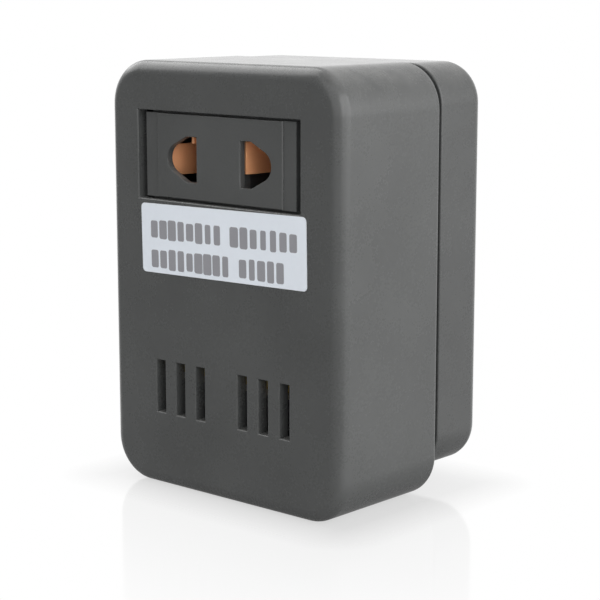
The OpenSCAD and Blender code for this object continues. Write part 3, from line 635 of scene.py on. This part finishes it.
class CONVERTER_OT_contacts(bpy.types.Operator):
    """Stamped terminals and sprung contact leaves of both poles"""
    bl_idname = "converter.contacts"
    bl_label = "Contacts"

    def execute(self, context):
        outlet = context.scene.converter_outlet
        copper = metal("contact_copper", outlet.copper, (0.52, 0.22, 0.10), rough=0.45, stretch=(1, 0.06, 1),
                       tarnish=0.08, metallic=0.3)
        for side, sign in (("left", -1), ("right", 1)):
            dress(f"{side}_terminal", f"{side}_outlet_terminal", copper, SMALL_EDGE)
            leaf = shaded_mesh(f"{side}_sprung_leaf", self.leaf(side, sign, outlet.strip))
            place(f"{side}_sprung_leaf", leaf, copper, [f"{side}_contact_leaf"],
                  body=f"{side}_leaf")
        return {"FINISHED"}

    def leaf(self, side, sign, strip):
        """Strip bent at its waist and flared at its mouth, with its root rolled round a pivot."""
        low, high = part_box(f"{side}_contact_leaf")
        root_r, flare, reach, bend_r = 0.8 * MM, 1.1 * MM, 3.2 * MM, 2.2 * MM
        below, above, rim = 3.1 * MM, 2.3 * MM, 0.15 * MM
        inner = low.x if sign > 0 else -high.x
        outer = high.x if sign > 0 else -low.x
        root = Vector((outer - root_r, high.y - root_r))
        waist = Vector((inner + strip / 2, low.y + reach))
        mouth = Vector((inner + flare + strip / 2, low.y))
        line = rounded_steps([tuple(root), tuple(waist), tuple(mouth)], bend_r, steps=8)
        middle = (low.z + high.z) / 2
        z0, z1 = middle - below, middle + above
        bm = bmesh.new()
        rows = []
        for i, point in enumerate(line):
            ahead = Vector(line[min(i + 1, len(line) - 1)]) - Vector(line[max(i - 1, 0)])
            across = Vector((ahead.y, -ahead.x)).normalized() * strip / 2
            rows.append([(point[0] + across.x * k, point[1] + across.y * k) for k in (1, -1)])
        outline = [r[0] for r in rows] + [r[1] for r in reversed(rows)]
        base = bm.faces.new([bm.verts.new((x, y, z0)) for x, y in outline])
        grown_faces = bmesh.ops.extrude_face_region(bm, geom=[base])["geom"]
        bmesh.ops.translate(bm, verts=[v for v in grown_faces if isinstance(v, bmesh.types.BMVert)],
                            vec=(0, 0, z1 - z0))
        bmesh.ops.recalc_face_normals(bm, faces=bm.faces)
        soften(bm, STRIP_EDGE)
        pivot = bmesh.ops.create_cone(bm, cap_ends=True, segments=32, radius1=root_r, radius2=root_r,
                                      depth=high.z - low.z, matrix=Matrix.Translation((root.x, root.y, middle)))
        rims = [e for e in bm.edges if all(v in pivot["verts"] for v in e.verts)
                and abs(e.verts[0].co.z - e.verts[1].co.z) < WELD]
        bmesh.ops.bevel(bm, geom=rims, offset=rim, segments=2, profile=0.5, affect="EDGES")
        if sign < 0:
            bmesh.ops.scale(bm, vec=(-1, 1, 1), verts=bm.verts)
            bmesh.ops.reverse_faces(bm, faces=bm.faces)
        return bm


class CONVERTER_OT_plug_pins(bpy.types.Operator):
    """Turned and plated plug pins with their collars and flanges"""
    bl_idname = "converter.plug_pins"
    bl_label = "Plug pins"

    def execute(self, context):
        nickel = metal("nickel_brass", context.scene.converter_outlet.nickel, (0.50, 0.44, 0.33), rough=0.22,
                       stretch=(1, 0.5, 1), tarnish=0.35)
        tail_r, collar_r, pin_r, tip_r = 1.5 * MM, 2.9 * MM, 2.4 * MM, 1.6 * MM
        tail, flange, turned_edge = 5.4 * MM, 3.0 * MM, 0.18 * MM
        for side in ("left", "right"):
            low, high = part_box(f"{side}_plug_pin")
            centre = (low + high) / 2
            flange_r = (high.x - low.x) / 2
            flange_y0, flange_y1, back = low.y + tail, low.y + tail + flange, REAR_HIGH.y
            tip = [(pin_r - tip_r + tip_r * math.cos(a), high.y - tip_r + tip_r * math.sin(a))
                   for a in (math.radians(12.0 * i) for i in range(8))]
            steps = rounded_steps([
                (0.0, low.y), (tail_r, low.y), (tail_r, flange_y0), (flange_r, flange_y0),
                (flange_r, flange_y1), (collar_r, flange_y1), (collar_r, back), (pin_r, back), tip[0]],
                turned_edge)
            pin = shaded_mesh(f"{side}_turned_pin", lathe(steps + tip[1:] + [(0.0, high.y)], centre))
            place(f"{side}_turned_pin", pin, nickel, [f"{side}_plug_pin"])
        return {"FINISHED"}


class CONVERTER_OT_screws(bpy.types.Operator):
    """Case screws with domed cross-recessed heads, and the plain screws of the carrier and retainer"""
    bl_idname = "converter.screws"
    bl_label = "Screws"

    def execute(self, context):
        zinc = metal("zinc_steel", (0.56, 0.56, 0.55), (0.36, 0.34, 0.28), rough=0.36, tarnish=0.5)
        low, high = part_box("case_screws")
        head_r, head_t, shank_r = 2.3 * MM, 1.6 * MM, 1.3 * MM
        point, first, groove, pitch, neck = 1.2 * MM, 1.4 * MM, 0.3 * MM, 0.7 * MM, 0.4 * MM
        seat, top, brim = high.y - head_t, high.y, high.y - 0.25 * head_t
        dome = [(head_r, seat), (head_r, brim)]
        dome += [(head_r * math.cos(a), brim + (top - brim) * math.sin(a))
                 for a in (math.radians(15.0 * i) for i in range(1, 6))]
        thread = [(0.0, low.y), (0.25 * shank_r, low.y), (shank_r - 0.25 * MM, low.y + point)]
        y = low.y + first
        while y < seat - point:
            thread += [(shank_r - groove, y), (shank_r, y + pitch / 2)]
            y += pitch
        outline = thread + [(shank_r, seat - neck), (shank_r, seat)] + dome + [(0.0, top)]
        screw = lathe(outline, (0, 0, 0), 40)
        mesh = shaded_mesh("case_screw", self.recessed(screw, top, head_r))
        spread = (high.x - low.x - 2 * head_r, high.z - low.z - 2 * head_r)
        centre = (low + high) / 2
        four = grown("domed_case_screws", corner_tree(), {
            "Width": spread[0], "Height": spread[1], "Centre": (centre.x, 0.0, centre.z),
            "Material": zinc}, own=mesh)
        place("domed_case_screws", four, zinc, ["case_screws"])
        for node in ("carrier_screws", "retainer_screws"):
            dress(node, f"soft_{node}", zinc, STRIP_EDGE)
        return {"FINISHED"}

    def recessed(self, bm, top, head_r):
        """The screw with a tapered cross sunk into its head."""
        # Length as a share of the head's radius, height from the top and width, at floor and mouth
        floor, mouth = (0.7, -1.2 * MM, 0.42 * MM), (1.25, 0.3 * MM, 0.6 * MM)
        cutter = bmesh.new()
        for turn in (0, math.pi / 2):
            made = bmesh.ops.create_cube(cutter, size=1.0)["verts"]
            for v in made:
                length, rise, width = floor if v.co.y < 0 else mouth
                v.co = Vector((v.co.x * head_r * length, top + rise, v.co.z * width))
            bmesh.ops.rotate(cutter, verts=made, cent=(0, 0, 0), matrix=Matrix.Rotation(turn, 3, "Y"))
        body = linked("screw_body", poured("screw_body", bm))
        tool = linked("cross", poured("cross", cutter))
        cut = body.modifiers.new("cross", "BOOLEAN")
        cut.operation, cut.object, cut.solver, cut.use_self = "DIFFERENCE", tool, "EXACT", True
        mesh = baked(body, "screw_cut")
        bpy.data.objects.remove(tool)
        out = bmesh.new()
        out.from_mesh(mesh)
        bpy.data.meshes.remove(mesh)
        return out


class CONVERTER_OT_label(bpy.types.Operator):
    """White film label with two rows of plain grey bars"""
    bl_idname = "converter.label"
    bl_label = "Label"
    # Start, end and height in mm of each run of bars, from the label's centre
    WORDS = ((-17.2, 0.2, 1.6), (2.0, 17.6, 1.6), (-17.2, 2.0, -3.6), (3.9, 14.5, -3.6))

    def execute(self, context):
        label = context.scene.converter_label
        sheet = film("label_film", label.colour)
        dress("rating_label", "film_label", sheet, FILM_EDGE)
        ink = film("bar_ink", label.ink, rough=0.45)
        tall, thick, corner = 3.7 * MM, 0.012 * MM, 0.45 * MM
        bar = bmesh.new()
        made = bmesh.ops.create_cube(bar, size=1.0)["verts"]
        bmesh.ops.scale(bar, verts=made, vec=(label.pitch, thick, tall))
        upright = [e for e in bar.edges if abs(e.verts[0].co.y - e.verts[1].co.y) > thick / 2]
        bmesh.ops.bevel(bar, geom=upright, offset=corner, segments=3, profile=0.5, affect="EDGES")
        bar_mesh = poured("bar", bar)
        centre = (LABEL_LOW + LABEL_HIGH) / 2
        tree, rows = print_tree(), bmesh.new()
        for seed, (start, end, height) in enumerate(self.WORDS):
            count = round((end - start) * MM / label.pitch)
            word = grown("bars", tree, {
                "Bars": count, "Start": (start * MM + label.pitch / 2, 0.0, height * MM),
                "Step": ((end - start) * MM / count, 0.0, 0.0), "Turn": -label.turn, "Seed": seed,
                "Centre": (centre.x, LABEL_LOW.y - thick * 0.3, centre.z), "Material": ink},
                own=bar_mesh.copy())
            rows.from_mesh(word)
            bpy.data.meshes.remove(word)
        bpy.data.meshes.remove(bar_mesh)
        place("label_bars", shaded_mesh("label_bars", rows), ink)
        return {"FINISHED"}


class CONVERTER_OT_transformer(bpy.types.Operator):
    """Core of stacked sheets, bobbin, turns of wire, tape, clip and fuse"""
    bl_idname = "converter.transformer"
    bl_label = "Transformer"
    # Share of a sheet's pitch that is steel
    STEEL = 0.9
    # How deep each winding is wound
    BUILD = {"inner_winding": 2.3 * MM, "outer_winding": 2.7 * MM}

    def execute(self, context):
        works = context.scene.converter_works
        self.core(works.sheet)
        enamel = metal("enamelled_copper", (0.48, 0.15, 0.05), (0.20, 0.05, 0.02), rough=0.25, tarnish=0.6)
        for node, wire in (("inner_winding", works.wire), ("outer_winding", works.heavy_wire)):
            self.winding(node, wire, enamel)
        tape = plastic("yellow_tape", (0.72, 0.50, 0.06, 1.0), rough=0.3, pits=900.0, depth=0.1, edge_highlight=0.1)
        for node in ("layer_tape", "outer_tape"):
            dress(node, f"wrapped_{node}", tape, TAPE_EDGE)
        finishes = {
            "core_clip": (
                "clip_steel", metal("clip_steel", (0.55, 0.54, 0.48), (0.33, 0.30, 0.22), rough=0.38)),
            "bobbin": ("bobbin_nylon", plastic("bobbin_nylon", (0.66, 0.62, 0.50, 1.0), rough=0.45, edge_highlight=0.1)),
            "bobbin_terminals": ("tinned_pin", metal("tinned_pin", (0.70, 0.70, 0.70), (0.45, 0.45, 0.44))),
            "thermal_fuse": ("fuse_can", metal("fuse_can", (0.64, 0.65, 0.67), (0.42, 0.42, 0.43), rough=0.3)),
            "pin_retainer": ("fibre_board", fibre("fibre_board", (0.58, 0.46, 0.28))),
        }
        for node, (slot, material) in finishes.items():
            dress(node, f"finished_{node}", material, SMALL_EDGE)
        return {"FINISHED"}

    def core(self, pitch):
        """Both stacks of the core as separate varnished sheets."""
        steel = metal("core_steel", (0.22, 0.23, 0.26), (0.13, 0.09, 0.06), rough=0.42, tarnish=0.6)
        tree = row_tree()
        for node in ("e_laminations", "i_laminations"):
            low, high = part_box(node)
            count = round((high.y - low.y) / pitch)
            step = (high.y - low.y) / count
            thick = step * self.STEEL
            bm = merged_copy(node)
            bmesh.ops.scale(bm, verts=bm.verts, vec=(1, thick / (high.y - low.y), 1),
                            space=Matrix.Translation((0, -low.y, 0)))
            soften(bm, SHEET_EDGE, segments=1)
            mesh = shaded_mesh(f"{node}_sheet", bm)
            sheets = grown(f"stacked_{node}", tree, {
                "Count": count, "Start": (0.0, (step - thick) / 2, 0.0), "Step": (0.0, step, 0.0),
                "Material": steel}, own=mesh)
            place(f"stacked_{node}", sheets, steel, [node])

    def winding(self, node, wire, material):
        """Layers of turns that fill the winding's space."""
        low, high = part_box(node)
        centre = (low + high) / 2
        build, tightest = self.BUILD[node], 0.2 * MM
        layers = max(1, round(build / wire))
        turns = int((high.z - low.z) / wire)
        step = (high.z - low.z) / turns
        bm = bmesh.new()
        tree = bpy.data.node_groups.get("Layer of turns") or winding_tree()
        for layer in range(layers):
            inset = build * (layer + 0.5) / layers
            mesh = grown(f"{node}_layer", tree, {
                "Width": high.x - low.x - 2 * inset, "Depth": high.y - low.y - 2 * inset,
                "Corner": max(build - inset, tightest), "Wire radius": min(wire, step) * 0.5, "Turns": turns,
                "Start": (centre.x, centre.y, low.z + step / 2), "Step": (0.0, 0.0, step),
                "Material": material})
            bm.from_mesh(mesh)
            bpy.data.meshes.remove(mesh)
        mesh = poured(f"wound_{node}", bm)
        mesh.shade_smooth()
        place(f"wound_{node}", mesh, material, [node])


class CONVERTER_OT_leads(bpy.types.Operator):
    """Insulated leads between the pins, fuse, windings and outlet"""
    bl_idname = "converter.leads"
    bl_label = "Leads"

    def execute(self, context):
        colours = {
            "red_insulation": ((0.46, 0.025, 0.025, 1.0), ("pin_to_fuse_lead", "fuse_to_winding_lead")),
            "blue_insulation": ((0.04, 0.10, 0.44, 1.0), ("pin_to_winding_lead",)),
            "yellow_insulation": ((0.66, 0.46, 0.04, 1.0), ("left_outlet_lead",)),
            "black_insulation": ((0.025, 0.025, 0.026, 1.0), ("right_outlet_lead",)),
        }
        for slot, (colour, leads) in colours.items():
            sleeve = plastic(slot, colour, rough=0.32, pits=1500.0, depth=0.12, edge_highlight=0.1, dust=0.05)
            for node in leads:
                bm = welded_copy(node)
                bmesh.ops.join_triangles(bm, faces=bm.faces, angle_face_threshold=math.radians(40),
                                         angle_shape_threshold=math.radians(60))
                holder = linked(node + "_tube", poured(node + "_tube", bm))
                smooth = holder.modifiers.new("smooth", "SUBSURF")
                smooth.levels = smooth.render_levels = 2
                mesh = baked(holder, f"sleeved_{node}")
                mesh.shade_smooth()
                place(f"sleeved_{node}", mesh, sleeve, [node])
        return {"FINISHED"}


class CONVERTER_OT_stage(bpy.types.Operator):
    """Camera at the photographed angle, soft studio light and a pale floor"""
    bl_idname = "converter.stage"
    bl_label = "Stage"
    # Name, azimuth and elevation in degrees, distance, width and height in metres, and power in watts
    LAMPS = (
        ("right_softbox", 98, 10, 0.60, 1.00, 0.80, 5.6),
        ("front_softbox", 36, 24, 0.70, 1.20, 1.00, 3.5),
        ("top_softbox", -85, 46, 0.60, 0.60, 0.60, 2.6),
    )
    # Point that the lamps face
    LIT_POINT = (0.0, -10 * MM, 38 * MM)
    # How far from the object's foot its contact shadow, the painted shade of the floor's glow in gloss and its
    # mirror image reach
    SHADOW_REACH, SHADE_REACH, MIRROR_REACH = 10 * MM, 30 * MM, 60 * MM
    # What the contact shadow and the painted shade leave at the foot
    SHADOW_LEFT, SHADE_LEFT = 0.72, 0.3
    FLOOR_HALF = 4.0

    def execute(self, context):
        stage = context.scene.converter_stage
        self.camera(context.scene, stage)
        self.world(context.scene, stage)
        self.floor(stage)
        for name, azimuth, elevation, *sizes in self.LAMPS:
            self.lamp(name, self.direction(math.radians(azimuth), math.radians(elevation)), *sizes)
        context.scene.view_settings.view_transform = "Standard"
        return {"FINISHED"}

    def direction(self, azimuth, elevation):
        """The way from the object to what stands at these angles; azimuth goes from the front to the right."""
        level = math.cos(elevation)
        return Vector((math.sin(azimuth) * level, -math.cos(azimuth) * level, math.sin(elevation)))

    def camera(self, scene, stage):
        data = bpy.data.cameras.new("camera")
        data.sensor_width, data.lens, data.clip_start = 36.0, stage.lens, 0.01
        camera = linked("camera", data)
        away = self.direction(stage.azimuth, stage.elevation)
        camera.location = Vector(stage.target) + away * stage.distance
        camera.rotation_euler = away.to_track_quat("Z", "Y").to_euler()
        scene.camera = camera

    def lamp(self, name, away, reach, width, height, power):
        data = bpy.data.lights.new(name, "AREA")
        data.shape, data.size, data.size_y, data.energy = "RECTANGLE", width, height, power
        lamp = linked(name, data)
        lamp.location = Vector(self.LIT_POINT) + away * reach
        lamp.rotation_euler = away.to_track_quat("Z", "Y").to_euler()

    def seen(self, tree):
        """Rays that show the background: the camera's own, and those in gloss and glass."""
        path = add(tree, "ShaderNodeLightPath").outputs
        gloss = math_of(tree, "MAXIMUM", path["Is Glossy Ray"], path["Is Transmission Ray"])
        return path["Is Camera Ray"], gloss

    def world(self, scene, stage):
        """White behind the object, and in gloss a dimmer room in front of it."""
        world = bpy.data.worlds.new("studio")
        world.use_nodes = True
        tree = world.node_tree
        tree.nodes.clear()
        camera, gloss = self.seen(tree)
        towards = add(tree, "ShaderNodeTexCoord").outputs["Generated"]
        behind = add(tree, "ShaderNodeSeparateXYZ", {0: towards}).outputs[1]
        shown = ranged(tree, behind, -0.35, 0.05, stage.room, 1.0)
        strength = ranged(tree, gloss, 0.0, 1.0, stage.ambient, shown)
        strength = ranged(tree, camera, 0.0, 1.0, strength, 1.0)
        sky = add(tree, "ShaderNodeBackground", {"Color": (1, 1, 1, 1), "Strength": strength})
        out = tree.nodes.new("ShaderNodeOutputWorld")
        tree.links.new(sky.outputs[0], out.inputs[0])
        scene.world = world

    def from_foot(self, tree, where):
        """How far a point of the floor lies from the object's foot."""
        middle, half = (FRONT_LOW + REAR_HIGH) / 2, (REAR_HIGH - FRONT_LOW) / 2
        zero = (0.0, 0.0, 0.0)
        for operation, other in (("SUBTRACT", (middle.x, middle.y, 0.0)), ("ABSOLUTE", zero),
                                 ("SUBTRACT", half), ("MAXIMUM", zero)):
            where = add(tree, "ShaderNodeVectorMath", {0: where, 1: other}, operation=operation).outputs[0]
        return add(tree, "ShaderNodeVectorMath", {0: where}, operation="LENGTH").outputs["Value"]

    def floor(self, stage):
        """White floor that keeps the object's shadow and a faint mirror image at its foot; its glow in gloss
        carries painted shade at the foot and in front of the object.
        """
        material, tree, where, surface = blank_material("pale_floor")
        away = self.from_foot(tree, where)
        lit = ranged(tree, away, 0.0, self.SHADOW_REACH, self.SHADOW_LEFT, 1.0)
        camera, gloss = self.seen(tree)
        behind = add(tree, "ShaderNodeSeparateXYZ", {0: where}).outputs[1]
        # Painted shade: in gloss the floor's glow is dimmed to the room's level in front of the object and
        # darkened at its foot.
        painted_gloss_shade = math_of(tree, "MULTIPLY", ranged(tree, behind, -50 * MM, -30 * MM, stage.room, 1.0),
                      ranged(tree, away, 0.0, self.SHADE_REACH, self.SHADE_LEFT, 1.0))
        strength = ranged(tree, gloss, 0.0, 1.0, 1.0, painted_gloss_shade)
        speck = add(tree, "ShaderNodeTexNoise", {"Vector": where, "Scale": 700.0, "Detail": 3.0})
        top = add(tree, "ShaderNodeBsdfPrincipled", {
            "Base Color": mixed(tree, speck.outputs[0], opaque(stage.floor, 0.985), opaque(stage.floor)),
            "Roughness": 0.6})
        white = add(tree, "ShaderNodeEmission", {"Color": (1, 1, 1, 1), "Strength": strength})
        shown = math_of(tree, "MULTIPLY", lit, math_of(tree, "MAXIMUM", camera, gloss))
        both = add(tree, "ShaderNodeMixShader", {0: shown, 1: top.outputs[0], 2: white.outputs[0]})
        mirror = add(tree, "ShaderNodeBsdfGlossy", {"Color": (1, 1, 1, 1), "Roughness": 0.09})
        fading = ranged(tree, away, 0.0, self.MIRROR_REACH, stage.mirror, 0.0)
        sheen = math_of(tree, "MULTIPLY", camera, fading)
        polished = add(tree, "ShaderNodeMixShader", {0: sheen, 1: both.outputs[0], 2: mirror.outputs[0]})
        tree.links.new(polished.outputs[0], surface)
        bm = bmesh.new()
        bmesh.ops.create_grid(bm, x_segments=24, y_segments=24, size=self.FLOOR_HALF)
        floor = linked("floor", poured("floor", bm))
        floor.data.materials.append(material)


PIECES = (
    CONVERTER_OT_front_shell, CONVERTER_OT_rear_shell, CONVERTER_OT_outlet_plate, CONVERTER_OT_contacts,
    CONVERTER_OT_plug_pins, CONVERTER_OT_screws, CONVERTER_OT_label, CONVERTER_OT_transformer,
    CONVERTER_OT_leads, CONVERTER_OT_stage,
)
SETTINGS = {
    "converter_case": ConverterCase, "converter_outlet": ConverterOutlet, "converter_label": ConverterLabel,
    "converter_works": ConverterWorks, "converter_stage": ConverterStage,
}


class CONVERTER_PT_sidebar(bpy.types.Panel):
    """Sizes, colours and building steps of the converter"""
    bl_idname = "CONVERTER_PT_sidebar"
    bl_label = "Voltage converter"
    bl_space_type = "VIEW_3D"
    bl_region_type = "UI"
    bl_category = "Converter"

    def draw(self, context):
        for key, group in SETTINGS.items():
            box = self.layout.box()
            for prop in group.__annotations__:
                box.prop(getattr(context.scene, key), prop)
        for piece in PIECES:
            self.layout.operator(piece.bl_idname)


CLASSES = tuple(SETTINGS.values()) + PIECES + (CONVERTER_PT_sidebar,)


def register():
    for cls in CLASSES:
        bpy.utils.register_class(cls)
    for key, group in SETTINGS.items():
        setattr(bpy.types.Scene, key, PointerProperty(type=group))


def unregister():
    for key in SETTINGS:
        delattr(bpy.types.Scene, key)
    for cls in reversed(CLASSES):
        bpy.utils.unregister_class(cls)


def main():
    register()
    for piece in PIECES:
        group, name = piece.bl_idname.split(".")
        getattr(getattr(bpy.ops, group), name)()


if __name__ == "__main__":
    main()
